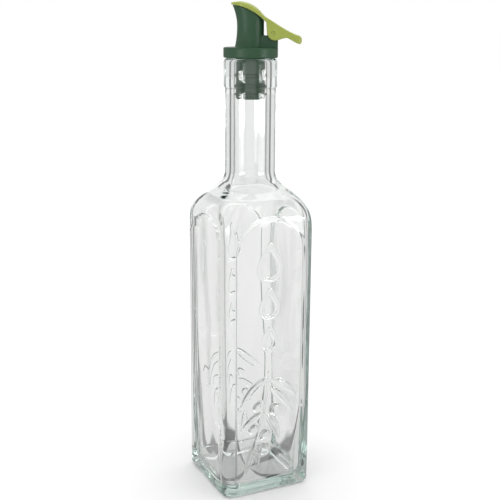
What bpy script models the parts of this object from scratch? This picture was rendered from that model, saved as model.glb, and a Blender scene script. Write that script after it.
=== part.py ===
"""Oil dispenser: a square glass bottle with an arched panel on each side and an olive sprig in
relief on two of them. A pourer is pressed into its neck, and a lever lid is hinged on the pourer.

Metres, +Z up. The origin is the middle of the base, and the panel that faces -Y is the front.
The pourer is modelled in a frame of its own, with its lever along +X, and turned as one piece."""

import math

import bmesh
import bpy
from mathutils import Matrix, Vector

# Bottle body
HALF_WIDTH = 0.0295
BODY_ROUNDNESS = 0.22
CORNER_START = 0.163
SHOULDER_START = 0.170
SHOULDER_RADIUS = 0.020
SHOULDER_TURN = 47.0
HEEL_RADIUS = 0.003
PUSH_UP = 0.0016
PUSH_UP_EDGE = 0.0235

# Neck and mouth
NECK_RADIUS = 0.015
NECK_ROOT_RADIUS = 0.014
MOUTH_RADIUS = 0.01572
MOUTH_BAND_FOOT = 0.2467
BAND_STEP = 0.0006
GLASS_HEIGHT = 0.263
LIP_RADIUS = 0.002
BORE_RADIUS = 0.010
BORE_ROUNDING = 0.001

# Inside of the glass
WALL = 0.0035
NECK_WALL = NECK_RADIUS - BORE_RADIUS
INNER_ROUNDNESS = 0.36
FLOOR_ROUNDNESS = 0.50
FLOOR_HEIGHT = 0.0065
FLOOR_RISE = 0.0013
INNER_HEEL_RADIUS = 0.007

# Arched panels and their relief
PANEL_HALF_WIDTH = 0.022
PANEL_FOOT = 0.008
PANEL_SPRING = 0.153
PANEL_RISE = 0.020
PANEL_CORNER = 0.003
PANEL_DEPTH = 0.001
ARCH_STEPS = 18
RELIEF_ROOT = 0.0004
LINE_HEIGHT = 0.0007

# Oil drops, each an outline: foot height, width, height
DROPS = ((0.1365, 0.0135, 0.0205), (0.1135, 0.0105, 0.0160), (0.0935, 0.0080, 0.0125))
DROP_LINE = 0.0023
DROP_TAPER = 1.4
DROP_STEPS = 20

# Olive sprig: leaves as base, tip, width and sideways bow, olives as middle, radius and length
STEM = ((0.0000, 0.0780), (-0.0010, 0.0640), (-0.0035, 0.0500), (-0.0085, 0.0360), (-0.0100, 0.0290))
STEM_WIDTH = 0.0016
LEAVES = (
    ((-0.0005, 0.0755), (-0.0200, 0.0565), 0.0054, -0.0022),
    ((0.0005, 0.0735), (0.0188, 0.0600), 0.0050, 0.0024),
    ((0.0000, 0.0690), (0.0167, 0.0485), 0.0044, 0.0020),
    ((-0.0030, 0.0540), (-0.0200, 0.0420), 0.0038, -0.0012),
    ((-0.0030, 0.0520), (0.0070, 0.0335), 0.0042, 0.0022),
    ((-0.0098, 0.0325), (-0.0157, 0.0132), 0.0030, -0.0005),
    ((-0.0092, 0.0310), (-0.0062, 0.0168), 0.0034, -0.0006),
)
OLIVES = (
    ((0.0044, 0.0538), 0.0040, 1.0),
    ((-0.0104, 0.0432), 0.0028, 1.35),
    ((-0.0024, 0.0378), 0.0038, 1.0),
    ((-0.0030, 0.0288), 0.0038, 1.0),
    ((-0.0072, 0.0575), 0.0028, 1.5),
)
OLIVE_HEIGHT = 0.001
OLIVE_TILT = math.radians(35)
OLIVE_STEPS = 12
LEAF_HEIGHT = 0.0008
LEAF_STEPS = 7

# Pourer: its turn on the bottle, the collar and the plug
POURER_TURN = -25.5
COLLAR_RADIUS = 0.0159
COLLAR_FOOT = 0.2633
COLLAR_TOP = 0.2693
COLLAR_EDGE = 0.0005
PLUG_RADIUS = 0.0085
PLUG_FOOT = 0.2398
PLUG_CHAMFER = 0.0007
CHANNEL_RADIUS = 0.0049
FIN_RADIUS = 0.0097
FIN_HEIGHTS = (0.2429, 0.2481, 0.2533)
FIN_ROOT_HALF = 0.0008
FIN_RIM_HALF = 0.0004
GAP = 0.0003

# Spout: its back is upright, and its front leans out from the waist to the beak
SPOUT_BACK = 0.00765
SPOUT_WAIST = 0.2809
SPOUT_WAIST_FRONT = -0.0079
SPOUT_FOOT_FRONT = -0.0092
BEAK_FRONT = -0.0104
BEAK_HEIGHT = 0.2925
SPOUT_FOOT_DEPTH = 0.0083
SPOUT_WAIST_DEPTH = 0.0070
BEAK_DEPTH = 0.0073
SPOUT_TOP = 0.2955
SPOUT_WALL = 0.0015
CHANNEL_PAST_COLLAR = 0.0015
CHANNEL_FLARE = 0.2760

# Lid and lever, in one piece: its underside is first a cylinder laid across the spout
SEAT_CENTRE = (-0.01495, 0.2602)
SEAT_RADIUS = 0.0329
SEAT_PAST_BACK = 0.0007
LID_TIP = -0.0114
LID_BLUNT = 0.0002
LID_MIDDLE = -0.002
LID_HALF_WIDTH = 0.0079
LID_BACK = 0.0090
LID_RIM = 0.0017
LID_EDGE = 0.0006
LID_TOP = (
    (-0.0114, 0.2944), (-0.0062, 0.2950), (-0.0023, 0.2944), (0.0013, 0.2930), (0.0043, 0.2909),
    (0.0066, 0.2885), (0.0084, 0.2867), (0.0127, 0.2840), (0.0177, 0.2809), (0.0227, 0.2782),
    (0.0261, 0.2767), (0.0284, 0.2759), (0.0294, 0.2748),
)
LEVER_FOOT = (
    (0.0095, 0.2768), (0.0102, 0.2752), (0.0115, 0.2740), (0.0135, 0.2733), (0.0162, 0.2736),
    (0.0188, 0.2744), (0.0211, 0.2746), (0.0228, 0.2737), (0.0262, 0.2719), (0.0283, 0.2713),
    (0.0294, 0.2724),
)
LEVER_WIDTHS = (
    (0.0090, 0.0068), (0.0127, 0.0064), (0.0211, 0.0054), (0.0262, 0.0062), (0.0284, 0.0058),
    (0.0294, 0.0040),
)

# Hinge
PIN = (0.01275, 0.2773)
PIN_RADIUS = 0.0010
PIN_HALF_LENGTH = 0.0061
PIN_HOLE_RADIUS = 0.0013
PIN_STEPS = 16
LUG_RADIUS = 0.0030
LUG_HALF_WIDTH = 0.0046
LUG_SHELF = 0.2760
LUG_BACK = 0.0157
LUG_SUNK = 0.0010
SLOT_HALF_WIDTH = 0.0049
SLOT_OUTLINE = (
    (0.0080, 0.2690), (0.0220, 0.2690), (0.0220, 0.2765), (0.0177, 0.2787), (0.0127, 0.2818),
    (0.0080, 0.2830),
)

# Facets
CORNER_STEPS = 6
FLAT_STEPS = 2
ROUND_STEPS = 32

# How far a cutting shape passes through what it cuts
PAST = 0.002

GREEN = (0.028, 0.095, 0.050, 1.0)
LIME = (0.360, 0.470, 0.080, 1.0)
CLEAR = (0.860, 0.950, 0.930, 1.0)


def clear_scene():
    for obj in list(bpy.data.objects):
        bpy.data.objects.remove(obj)


def material(name, colour, roughness, transmission=0.0):
    made = bpy.data.materials.new(name)
    made.use_nodes = True
    shader = made.node_tree.nodes["Principled BSDF"]
    shader.inputs["Base Color"].default_value = colour
    shader.inputs["Roughness"].default_value = roughness
    shader.inputs["Metallic"].default_value = 0.0
    shader.inputs["Transmission Weight"].default_value = transmission
    return made


def add_object(name, mesh_data):
    bmesh.ops.recalc_face_normals(mesh_data, faces=mesh_data.faces)
    mesh = bpy.data.meshes.new(name)
    mesh_data.to_mesh(mesh)
    mesh_data.free()
    obj = bpy.data.objects.new(name, mesh)
    bpy.context.scene.collection.objects.link(obj)
    return obj


def loft(name, rings):
    """A closed solid skinned through rings of equal point count, with a flat cap at each end."""
    solid = bmesh.new()
    layers = [[solid.verts.new(point) for point in ring] for ring in rings]
    count = len(rings[0])
    for near, far in zip(layers, layers[1:]):
        for i in range(count):
            j = (i + 1) % count
            solid.faces.new((near[i], near[j], far[j], far[i]))
    solid.faces.new(layers[0][::-1])
    solid.faces.new(layers[-1])
    return add_object(name, solid)


def prism(name, outline, half_depth):
    """An (x, z) outline extruded along Y to both sides of the XZ plane."""
    near = [Vector((x, -half_depth, z)) for x, z in outline]
    far = [Vector((x, half_depth, z)) for x, z in outline]
    return loft(name, [near, far])


def circle(radius, height):
    turns = [math.tau * i / ROUND_STEPS for i in range(ROUND_STEPS)]
    return [Vector((radius * math.cos(a), radius * math.sin(a), height)) for a in turns]


def between(start, end, steps):
    """Even steps from start to end, with both."""
    return [start + (end - start) * i / steps for i in range(steps + 1)]


def arc(centre, radius, start, end, steps):
    """Points (x, z) on a circle, from one angle in degrees to another."""
    angles = [math.radians(start + (end - start) * i / steps) for i in range(steps + 1)]
    return [(centre[0] + radius * math.cos(a), centre[1] + radius * math.sin(a)) for a in angles]


def combine(target, operation, others):
    """Joins the other closed shapes to the target, or cuts them from it, and removes them."""
    tools = bpy.data.collections.new(target.name + "_tools")
    bpy.context.scene.collection.children.link(tools)
    for other in others:
        tools.objects.link(other)
    boolean = target.modifiers.new(operation, "BOOLEAN")
    boolean.operation = operation
    boolean.operand_type = "COLLECTION"
    boolean.collection = tools
    boolean.solver = "EXACT"
    bpy.context.view_layer.update()
    graph = bpy.context.evaluated_depsgraph_get()
    joined = bpy.data.meshes.new_from_object(target.evaluated_get(graph))
    target.modifiers.clear()
    target.data = joined
    for other in others:
        bpy.data.objects.remove(other)
    bpy.data.collections.remove(tools)


def finish(obj, look, parent=None):
    obj.data.materials.clear()
    obj.data.materials.append(look)
    obj.data.shade_smooth()
    obj.data.set_sharp_from_angle(angle=math.radians(35))
    obj.parent = parent


# Glass bottle


def square_radius(angle, half_width, roundness):
    """Distance from the middle to a square with round corners. Roundness 1 makes it a circle."""
    corner = half_width * roundness
    flat = half_width - corner
    along = abs(math.cos(angle))
    across = abs(math.sin(angle))
    long, short = max(along, across), min(along, across)
    if half_width * short / long <= flat:
        return half_width / long
    reach = flat * (along + across)
    return reach + math.sqrt(max(reach * reach - 2 * flat * flat + corner * corner, 0.0))


def section_angles(roundness):
    """Angles crowded into the corners of a square section, and even round a circular one."""
    corner_start = math.atan(1 - BODY_ROUNDNESS)
    corner_end = math.pi / 2 - corner_start
    flat = [corner_start * i / FLAT_STEPS for i in range(FLAT_STEPS)]
    step = (corner_end - corner_start) / CORNER_STEPS
    corner = [corner_start + step * i for i in range(CORNER_STEPS)]
    second_flat = [corner_end + corner_start * i / FLAT_STEPS for i in range(FLAT_STEPS)]
    square = flat + corner + second_flat
    even = [math.pi / 2 * i / len(square) for i in range(len(square))]
    share = min(1.0, (roundness - BODY_ROUNDNESS) / (1 - BODY_ROUNDNESS))
    quarter = [s + (e - s) * share for s, e in zip(square, even)]
    return [side * math.pi / 2 + a for side in range(4) for a in quarter]


def section(half_width, height, roundness):
    ring = []
    for angle in section_angles(roundness):
        radius = square_radius(angle, half_width, roundness)
        ring.append(Vector((radius * math.cos(angle), radius * math.sin(angle), height)))
    return ring


def neck_root_height():
    """Where the straight slope between shoulder and neck brings the root arc to an upright end."""
    turn = math.radians(SHOULDER_TURN)
    slope_x = HALF_WIDTH - SHOULDER_RADIUS * (1 - math.cos(turn))
    slope_z = SHOULDER_START + SHOULDER_RADIUS * math.sin(turn)
    root_x = NECK_RADIUS + NECK_ROOT_RADIUS * (1 - math.cos(turn))
    run = (slope_x - root_x) / math.sin(turn)
    return slope_z + run * math.cos(turn) + NECK_ROOT_RADIUS * math.sin(turn)


def roundness_at(height, low):
    """The corners open out with the square of the height, into the round neck."""
    end = neck_root_height() - NECK_ROOT_RADIUS / 2
    rise = min(1.0, max(0.0, (height - CORNER_START) / (end - CORNER_START)))
    return low + (1 - low) * rise * rise


def outer_profile():
    """Half width, height and roundness, from the middle of the underside up to the lip."""
    heel_middle = (HALF_WIDTH - HEEL_RADIUS, HEEL_RADIUS)
    underside = [(0.008, PUSH_UP), (0.019, PUSH_UP * 0.8), (PUSH_UP_EDGE, 0.0)]
    heel = arc(heel_middle, HEEL_RADIUS, -90, 0, 3)
    body = [(HALF_WIDTH, CORNER_START), (HALF_WIDTH, (CORNER_START + SHOULDER_START) / 2)]
    shoulder_middle = (HALF_WIDTH - SHOULDER_RADIUS, SHOULDER_START)
    shoulder = arc(shoulder_middle, SHOULDER_RADIUS, 0, SHOULDER_TURN, 6)
    root_middle = (NECK_RADIUS + NECK_ROOT_RADIUS, neck_root_height())
    root = arc(root_middle, NECK_ROOT_RADIUS, 180 + SHOULDER_TURN, 180, 5)
    band = [
        (NECK_RADIUS, MOUTH_BAND_FOOT),
        (MOUTH_RADIUS, MOUTH_BAND_FOOT + BAND_STEP),
    ]
    lip_middle = (MOUTH_RADIUS - LIP_RADIUS, GLASS_HEIGHT - LIP_RADIUS)
    lip = arc(lip_middle, LIP_RADIUS, 0, 90, 3)
    path = underside + heel + body + shoulder + root + band + lip
    return [(w, z, roundness_at(z, BODY_ROUNDNESS)) for w, z in path]


def inner_profile():
    """Half width, height and roundness, from the mouth down to the middle of the floor."""
    mouth_middle = (BORE_RADIUS + BORE_ROUNDING, GLASS_HEIGHT - BORE_ROUNDING)
    mouth = arc(mouth_middle, BORE_ROUNDING, 90, 180, 2)
    root_middle = (NECK_RADIUS + NECK_ROOT_RADIUS, neck_root_height())
    root = arc(root_middle, NECK_ROOT_RADIUS + NECK_WALL, 180, 180 + SHOULDER_TURN, 5)
    shoulder_middle = (HALF_WIDTH - SHOULDER_RADIUS, SHOULDER_START)
    shoulder = arc(shoulder_middle, SHOULDER_RADIUS - WALL, SHOULDER_TURN, 0, 5)
    half_width = HALF_WIDTH - WALL
    body = [(half_width, (CORNER_START + SHOULDER_START) / 2), (half_width, CORNER_START)]
    heel_middle = (half_width - INNER_HEEL_RADIUS, FLOOR_HEIGHT + INNER_HEEL_RADIUS)
    heel = arc(heel_middle, INNER_HEEL_RADIUS, 0, -90, 4)
    floor = [(0.012, FLOOR_HEIGHT + FLOOR_RISE * 0.7), (0.005, FLOOR_HEIGHT + FLOOR_RISE)]
    above = mouth + root + shoulder + body
    upper = [(w, z, roundness_at(z, INNER_ROUNDNESS)) for w, z in above]
    top, drop = heel[0][1], heel[0][1] - FLOOR_HEIGHT
    lower = []
    for width, height in heel + floor:
        depth = min(1.0, (top - height) / drop)
        lower.append((width, height, INNER_ROUNDNESS + (FLOOR_ROUNDNESS - INNER_ROUNDNESS) * depth))
    return upper + lower


def panel_outline():
    """A panel's outline as (x, z): square foot with eased corners, and an elliptical arch."""
    side = PANEL_HALF_WIDTH - PANEL_CORNER
    rise = PANEL_FOOT + PANEL_CORNER
    foot = arc((-side, rise), PANEL_CORNER, 180, 270, 2) + arc((side, rise), PANEL_CORNER, 270, 360, 2)
    turns = [math.pi * i / ARCH_STEPS for i in range(ARCH_STEPS + 1)]
    arch = [(PANEL_HALF_WIDTH * math.cos(a), PANEL_SPRING + PANEL_RISE * math.sin(a)) for a in turns]
    return foot + arch


def on_face(points, quarter_turns):
    """Face points (x, z, height over the panel's floor) placed on the front and turned to a side."""
    floor = HALF_WIDTH - PANEL_DEPTH
    turn = Matrix.Rotation(quarter_turns * math.pi / 2, 4, "Z")
    return [turn @ Vector((x, -(floor + out), z)) for x, z, out in points]


def ridge(name, path, half_widths, heights, side, closed=False):
    """A raised line with a ridge along its middle and its edges sunk in the panel's floor."""
    count = len(path)
    rings = []
    for i, (x, z) in enumerate(path):
        before = path[(i - 1) % count if closed else max(i - 1, 0)]
        after = path[(i + 1) % count if closed else min(i + 1, count - 1)]
        along = Vector((after[0] - before[0], after[1] - before[1])).normalized()
        left = (x - along.y * half_widths[i], z + along.x * half_widths[i])
        right = (x + along.y * half_widths[i], z - along.x * half_widths[i])
        edge = -RELIEF_ROOT / 4
        shape = [(*left, edge), (x, z, heights[i]), (*right, edge), (x, z, -RELIEF_ROOT)]
        rings.append(on_face(shape, side))
    if not closed:
        return loft(name, rings)
    solid = bmesh.new()
    layers = [[solid.verts.new(point) for point in ring] for ring in rings]
    for near, far in zip(layers, layers[1:] + layers[:1]):
        for i in range(4):
            j = (i + 1) % 4
            solid.faces.new((near[i], near[j], far[j], far[i]))
    return add_object(name, solid)


def oil_drop(foot, width, height, side):
    """The outline of a falling drop: round below, drawn out to a point above."""
    turns = [math.tau * i / DROP_STEPS for i in range(DROP_STEPS)]
    across = [math.sin(a) * math.sin(a / 2) ** DROP_TAPER for a in turns]
    scale = width / 2 / max(across)
    path = [(x * scale, foot + height * (1 + math.cos(a)) / 2) for x, a in zip(across, turns)]
    widths = [DROP_LINE / 2] * DROP_STEPS
    return ridge("drop", path, widths, [LINE_HEIGHT] * DROP_STEPS, side, closed=True)


def leaf(base, tip, width, bow, side):
    start, end = Vector(base), Vector(tip)
    across = Vector((end.y - start.y, start.x - end.x)).normalized()
    shares = [i / (LEAF_STEPS - 1) for i in range(LEAF_STEPS)]
    middle = [start.lerp(end, t) - across * bow * 4 * t * (1 - t) for t in shares]
    swell = [max(0.12, math.sin(math.pi * t ** 0.85)) for t in shares]
    widths = [width / 2 * s for s in swell]
    heights = [LEAF_HEIGHT * min(1.0, 0.35 + s) for s in swell]
    return ridge("leaf", [(p.x, p.y) for p in middle], widths, heights, side)


def stem(side):
    widths = [STEM_WIDTH / 2 * (1.0 - 0.1 * i) for i in range(len(STEM))]
    return ridge("stem", list(STEM), widths, [LINE_HEIGHT] * len(STEM), side)


def olive(middle, radius, length, side):
    """A low dome, longer along the leaf side than across it, sunk into the panel."""
    rings = []
    for lift in (0, 28, 55, 83):
        shrink = math.cos(math.radians(lift))
        height = OLIVE_HEIGHT * math.sin(math.radians(lift)) if lift else -RELIEF_ROOT
        points = []
        for i in range(OLIVE_STEPS):
            a = math.tau * i / OLIVE_STEPS
            u, v = radius * length * shrink * math.cos(a), radius * shrink * math.sin(a)
            x = middle[0] + u * math.cos(OLIVE_TILT) - v * math.sin(OLIVE_TILT)
            z = middle[1] + u * math.sin(OLIVE_TILT) + v * math.cos(OLIVE_TILT)
            points.append((x, z, height))
        rings.append(on_face(points, side))
    return loft("olive", rings)


def glass_bottle(look):
    path = outer_profile() + inner_profile()
    bottle = loft("glass_bottle", [section(w, z, r) for w, z, r in path])
    cutters = []
    for side in range(4):
        floor = on_face([(x, z, 0.0) for x, z in panel_outline()], side)
        front = on_face([(x, z, PANEL_DEPTH + PAST) for x, z in panel_outline()], side)
        cutters.append(loft("panel", [floor, front]))
    combine(bottle, "DIFFERENCE", cutters)
    relief = []
    for side in (0, 2):
        relief += [oil_drop(*drop, side) for drop in DROPS]
        relief += [leaf(*shape, side) for shape in LEAVES]
        relief += [olive(*shape, side) for shape in OLIVES]
        relief.append(stem(side))
    combine(bottle, "UNION", relief)
    finish(bottle, look)
    return bottle


# Pourer


def plug_outside():
    """Radius and height down the outside of the plug, from the collar, with its sealing fins."""
    path = []
    for height in reversed(FIN_HEIGHTS):
        path += [
            (PLUG_RADIUS, height + FIN_ROOT_HALF),
            (FIN_RADIUS, height + FIN_RIM_HALF),
            (FIN_RADIUS, height - FIN_RIM_HALF),
            (PLUG_RADIUS, height - FIN_ROOT_HALF),
        ]
    path += [(PLUG_RADIUS, PLUG_FOOT + PLUG_CHAMFER), (PLUG_RADIUS - PLUG_CHAMFER, PLUG_FOOT)]
    return path


def spout_front(height):
    """Where the front of the spout is at a height: two parabolas that meet at the waist."""
    above = height > SPOUT_WAIST
    end = BEAK_FRONT if above else SPOUT_FOOT_FRONT
    reach = (BEAK_HEIGHT - SPOUT_WAIST) if above else (COLLAR_TOP - SPOUT_WAIST)
    share = (height - SPOUT_WAIST) / reach
    return SPOUT_WAIST_FRONT + (end - SPOUT_WAIST_FRONT) * share * share


def spout_depth(height):
    above = height > SPOUT_WAIST
    end = BEAK_DEPTH if above else SPOUT_FOOT_DEPTH
    reach = (BEAK_HEIGHT - SPOUT_WAIST) if above else (COLLAR_TOP - SPOUT_WAIST)
    share = (height - SPOUT_WAIST) / reach
    return SPOUT_WAIST_DEPTH + (end - SPOUT_WAIST_DEPTH) * share * share


def spout_ring(height, inset=0.0):
    front, back = spout_front(height) + inset, SPOUT_BACK - inset
    middle, length = (front + back) / 2, (back - front) / 2
    depth = spout_depth(height) - inset
    turns = [math.tau * i / ROUND_STEPS for i in range(ROUND_STEPS)]
    return [Vector((middle + length * math.cos(a), depth * math.sin(a), height)) for a in turns]


def seat_angle(x):
    """Angle in degrees, round the seat's cylinder, of the line on it that lies over x."""
    return math.degrees(math.acos((x - SEAT_CENTRE[0]) / SEAT_RADIUS))


def seat_cutter():
    """All that lies over the spout above the cylinder on which the lid rests."""
    front, back = BEAK_FRONT - PAST, SPOUT_BACK + SEAT_PAST_BACK
    ceiling = SPOUT_TOP + PAST
    curve = arc(SEAT_CENTRE, SEAT_RADIUS, seat_angle(front), seat_angle(back), 16)
    half_depth = SPOUT_FOOT_DEPTH + PAST
    return prism("above_seat", curve + [(back, ceiling), (front, ceiling)], half_depth)


def lug_outline():
    return [
        (SPOUT_BACK - LUG_SUNK, COLLAR_TOP - LUG_SUNK),
        (LUG_BACK - LUG_SUNK, COLLAR_TOP - LUG_SUNK),
        (LUG_BACK, COLLAR_TOP - LUG_SUNK / 2),
        *arc(PIN, LUG_RADIUS, 0, 180, 8),
        (PIN[0] - LUG_RADIUS, LUG_SHELF),
        (SPOUT_BACK - LUG_SUNK, LUG_SHELF),
    ]


def rod(name, radius, half_length):
    """A round bar along Y, through the hinge's axis."""
    turns = [math.tau * i / PIN_STEPS for i in range(PIN_STEPS)]
    outline = [(PIN[0] + radius * math.cos(a), PIN[1] + radius * math.sin(a)) for a in turns]
    return prism(name, outline, half_length)


def pin_hole():
    return rod("pin_hole", PIN_HOLE_RADIUS, LID_HALF_WIDTH + PAST)


def pourer(look, frame):
    """One moulding: the finned plug, the collar on the lip, the beaked spout and the hinge lug."""
    collar = [
        (COLLAR_RADIUS - COLLAR_EDGE, COLLAR_TOP),
        (COLLAR_RADIUS, COLLAR_TOP - COLLAR_EDGE),
        (COLLAR_RADIUS, COLLAR_FOOT + COLLAR_EDGE),
        (COLLAR_RADIUS - COLLAR_EDGE, COLLAR_FOOT),
        (PLUG_RADIUS, COLLAR_FOOT),
    ]
    body = loft("pourer", [circle(radius, z) for radius, z in collar + plug_outside()])
    sunk = COLLAR_TOP - LUG_SUNK
    shell = loft("shell", [spout_ring(z) for z in between(sunk, SPOUT_TOP, 8)])
    lug = prism("lug", lug_outline(), LUG_HALF_WIDTH)
    combine(body, "UNION", [shell, lug])
    throat = [circle(CHANNEL_RADIUS, z) for z in (PLUG_FOOT - PAST, COLLAR_TOP + CHANNEL_PAST_COLLAR)]
    flare = [spout_ring(z, SPOUT_WALL) for z in between(CHANNEL_FLARE, SPOUT_TOP + PAST, 6)]
    inside = loft("inside", throat + flare)
    combine(body, "DIFFERENCE", [inside, seat_cutter(), pin_hole()])
    finish(body, look, frame)


def smooth(points, x):
    """Height at x of the smooth curve through the points: cubic pieces with shared slopes."""
    count = len(points)
    slopes = []
    for i in range(count):
        low, high = points[max(i - 1, 0)], points[min(i + 1, count - 1)]
        slopes.append((high[1] - low[1]) / (high[0] - low[0]))
    piece = 0
    while piece < count - 2 and x > points[piece + 1][0]:
        piece += 1
    (x0, z0), (x1, z1) = points[piece], points[piece + 1]
    run = x1 - x0
    t = min(1.0, max(0.0, (x - x0) / run))
    start = z0 * (1 + 2 * t) * (1 - t) ** 2 + slopes[piece] * run * t * (1 - t) ** 2
    return start + z1 * t * t * (3 - 2 * t) - slopes[piece + 1] * run * t * t * (1 - t)


def lid_underside(x):
    """The lid rests on the spout's cylinder, and the lever hangs lower behind it."""
    if x > LID_BACK:
        return smooth(LEVER_FOOT, x)
    reach = SEAT_RADIUS + GAP
    return SEAT_CENTRE[1] + math.sqrt(reach * reach - (x - SEAT_CENTRE[0]) ** 2)


def lid_half_width(x):
    """Half width in plan: an elliptical tip over the beak, and the lever's waist and thumb end."""
    if x > LID_BACK:
        return smooth(LEVER_WIDTHS, x)
    if x < LID_MIDDLE:
        share = (x - LID_MIDDLE) / (LID_TIP - LID_MIDDLE)
        return LID_HALF_WIDTH * math.sqrt(1 - share * share)
    share = (x - LID_MIDDLE) / (LID_BACK - LID_MIDDLE)
    return LID_HALF_WIDTH + (LEVER_WIDTHS[0][1] - LID_HALF_WIDTH) * share * share


def lid_section(x, across=8):
    """The lid cut across at x: a flat underside, upright sides and a crowned top."""
    half = lid_half_width(x)
    low, high = lid_underside(x), smooth(LID_TOP, x)
    crown = max(LID_EDGE, high - low - LID_RIM) if x < LID_BACK else LID_EDGE
    crown = min(crown, (high - low) / 2)
    points = [Vector((x, half, low)), Vector((x, -half, low))]
    for j in range(across + 1):
        turn = math.pi * j / across
        points.append(Vector((x, -half * math.cos(turn), high - crown * (1 - math.sin(turn)))))
    return points


def pour_lid(look, hinge):
    """The lid over the spout with the thumb lever behind it, slotted to straddle the lug."""
    tip = [LID_TIP + LID_BLUNT + (LID_MIDDLE - LID_TIP) * (i / 5) ** 2 for i in range(5)]
    over_spout = between(LID_MIDDLE, LID_BACK, 5)
    start, end = LEVER_FOOT[0][0], LEVER_FOOT[-1][0]
    lever = [start + (end - start) * (1 - math.cos(a)) / 2 for a in between(0.0, math.pi, 16)]
    lid = loft("pour_lid", [lid_section(x) for x in tip + over_spout + lever])
    combine(lid, "DIFFERENCE", [prism("slot", SLOT_OUTLINE, SLOT_HALF_WIDTH), pin_hole()])
    lid.data.transform(Matrix.Translation((-PIN[0], 0.0, -PIN[1])))
    finish(lid, look, hinge)


def hinge_pin(look, frame):
    finish(rod("hinge_pin", PIN_RADIUS, PIN_HALF_LENGTH), look, frame)


def empty(name, location, parent=None):
    made = bpy.data.objects.new(name, None)
    bpy.context.scene.collection.objects.link(made)
    made.location = location
    made.parent = parent
    return made


def main():
    clear_scene()
    clear = material("clear_glass", CLEAR, 0.02, transmission=1.0)
    green = material("dark_green_plastic", GREEN, 0.42)
    lime = material("lime_plastic", LIME, 0.28)
    glass_bottle(clear)
    frame = empty("pourer_frame", (0.0, 0.0, 0.0))
    frame.rotation_euler = (0.0, 0.0, math.radians(POURER_TURN))
    hinge = empty("lid_hinge", (PIN[0], 0.0, PIN[1]), frame)
    pourer(green, frame)
    hinge_pin(lime, frame)
    pour_lid(lime, hinge)


main()
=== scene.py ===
"""Looks of the oil dispenser: the clear glass bottle with its relief, the green plastic pourer and
the lime lid, with plain studio light, a white floor and the camera of the photograph.

Metres, +Z up. The bottle's panel that faces -Y is the front. The pourer is modelled in a frame of
its own, with its lever along +X, and then turned about Z as one. Turns are in degrees, and the
camera's angles in radians."""

import math

import bmesh
import bpy
import numpy as np
from mathutils import Matrix, Vector


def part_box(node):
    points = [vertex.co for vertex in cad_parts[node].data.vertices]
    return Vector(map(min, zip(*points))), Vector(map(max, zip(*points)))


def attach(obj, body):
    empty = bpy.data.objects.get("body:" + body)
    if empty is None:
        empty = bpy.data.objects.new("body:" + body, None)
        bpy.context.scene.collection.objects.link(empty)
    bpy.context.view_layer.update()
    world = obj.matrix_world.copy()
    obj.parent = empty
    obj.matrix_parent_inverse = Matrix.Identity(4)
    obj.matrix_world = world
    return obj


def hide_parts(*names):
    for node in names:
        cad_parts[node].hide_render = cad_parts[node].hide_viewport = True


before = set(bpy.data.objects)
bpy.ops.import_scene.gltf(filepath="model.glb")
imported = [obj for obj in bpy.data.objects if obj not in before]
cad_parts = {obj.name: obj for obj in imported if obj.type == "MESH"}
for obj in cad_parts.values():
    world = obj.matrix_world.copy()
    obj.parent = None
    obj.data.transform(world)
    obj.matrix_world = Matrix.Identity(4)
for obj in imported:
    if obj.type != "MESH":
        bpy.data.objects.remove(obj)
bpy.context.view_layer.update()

# Bottle body, as in the solids
HALF_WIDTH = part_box("glass_bottle")[1].x
GLASS_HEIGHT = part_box("glass_bottle")[1].z
BODY_ROUNDNESS = 0.22
CORNER_START = 0.163
SHOULDER_START = 0.170
SHOULDER_RADIUS = 0.020
SHOULDER_TURN = 47.0
HEEL_RADIUS = 0.003
PUSH_UP = 0.0016

# Underside, from the middle out: half width and share of the push-up
UNDERSIDE = ((0.0006, 1.0), (0.006, 1.0), (0.012, 0.95), (0.018, 0.7), (0.0215, 0.3), (0.0235, 0.0))

# Neck and mouth
NECK_RADIUS = 0.015
NECK_ROOT_RADIUS = 0.014
MOUTH_RADIUS = 0.01572
MOUTH_BAND_FOOT = 0.2467
BAND_STEP = 0.0006
LIP_RADIUS = 0.002
BORE_RADIUS = 0.010
BORE_ROUNDING = 0.001

# Inside of the glass. Its corners grow rounder from SETTLED_TOP down to the base.
WALL = 0.0035
NECK_WALL = NECK_RADIUS - BORE_RADIUS
INNER_ROUNDNESS = 0.14
SETTLED_ROUNDNESS = 0.45
SETTLED_TOP = 0.065
FLOOR_HEIGHT = 0.0045
FLOOR_RISE = 0.0013
INNER_HEEL_RADIUS = 0.007

# Inner floor, from its edge to the middle: half width and share of the rise that is left
INNER_FLOOR = ((0.015, 0.5), (0.010, 0.15), (0.005, 0.0), (0.0006, 0.0))

# Swells of the blown inner wall: share, times round, radians a metre of height, start.
# The first one also beats with the height.
WALL_WAVE = 0.00022
WALL_SWELLS = ((1.0, 3, 21, 0.6), (0.6, 5, -64, 2.0), (0.5, 9, 33, 0.0))
SWELL_BEAT = (52, 1.1)
WAVY_FOOT = 0.010
WAVY_TOP = 0.185
WAVY_FADE = 0.02

# Arched panels
PANEL_HALF_WIDTH = 0.022
PANEL_FOOT = 0.008
PANEL_SPRING = 0.153
PANEL_RISE = 0.020
PANEL_CORNER = 0.003
PANEL_DEPTH = 0.001
PANEL_EDGE = 0.0013

# Oil drops, each an outline: foot height, width, height
DROPS = ((0.1365, 0.0135, 0.0205), (0.1135, 0.0105, 0.0160), (0.0935, 0.0080, 0.0125))
DROP_LINE = 0.0024
DROP_TAPER = 1.4
LINE_HEIGHT = 0.0008

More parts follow.
